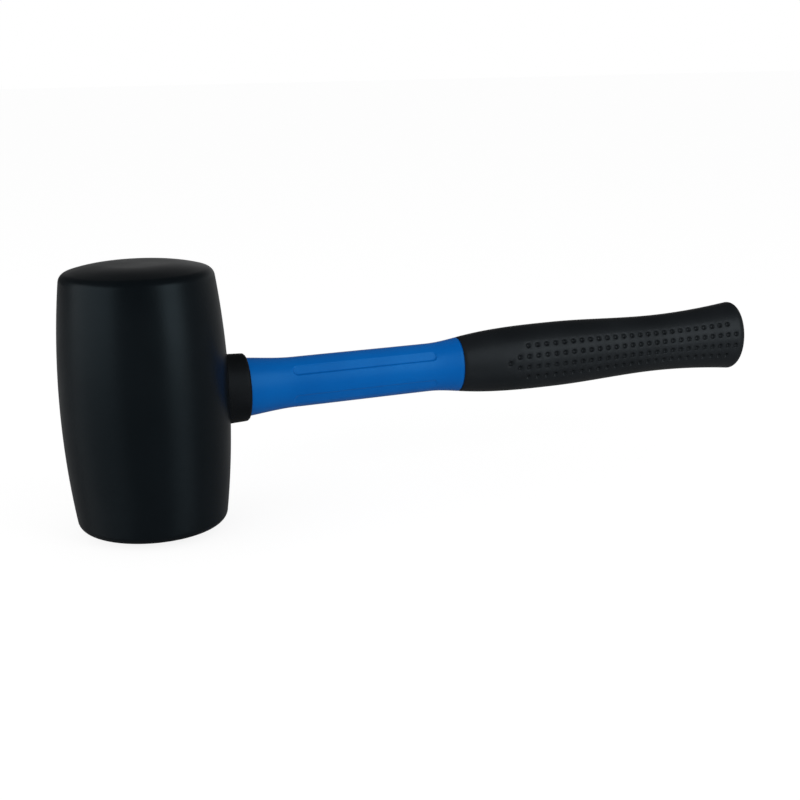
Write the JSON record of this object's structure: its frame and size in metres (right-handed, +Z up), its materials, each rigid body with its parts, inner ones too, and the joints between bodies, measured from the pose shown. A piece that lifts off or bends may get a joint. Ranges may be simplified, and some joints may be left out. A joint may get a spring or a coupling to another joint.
{
  "type": "rubber mallet",
  "caption": "Rubber mallet with a barrel-shaped black head, two crowned striking faces and a straight oval handle with a blue waist and a dimpled black grip.",
  "frame": {"origin": "centre of the lower striking face, on the axis of the head", "axes": "+Z up the axis of the head to the upper striking face, +X along the handle towards its butt, +Y across the handle"},
  "size_m": [0.35, 0.0748, 0.121],
  "materials": {
    "head_rubber": "satin black moulded rubber",
    "collar_rubber": "satin black moulded rubber",
    "jacket_plastic": "satin blue moulded plastic",
    "glass_fibre": "drawn glass-fibre rod, matt",
    "grip_rubber": "matt black soft grip with moulded dimples",
    "adhesive": "cured two-part adhesive"
  },
  "bodies": {
    "root": {"head": "head_rubber", "collar": "collar_rubber", "handle_jacket": "jacket_plastic", "core_rod": "glass_fibre", "grip": "grip_rubber", "epoxy_bond": "adhesive"}
  },
  "joints": []
}
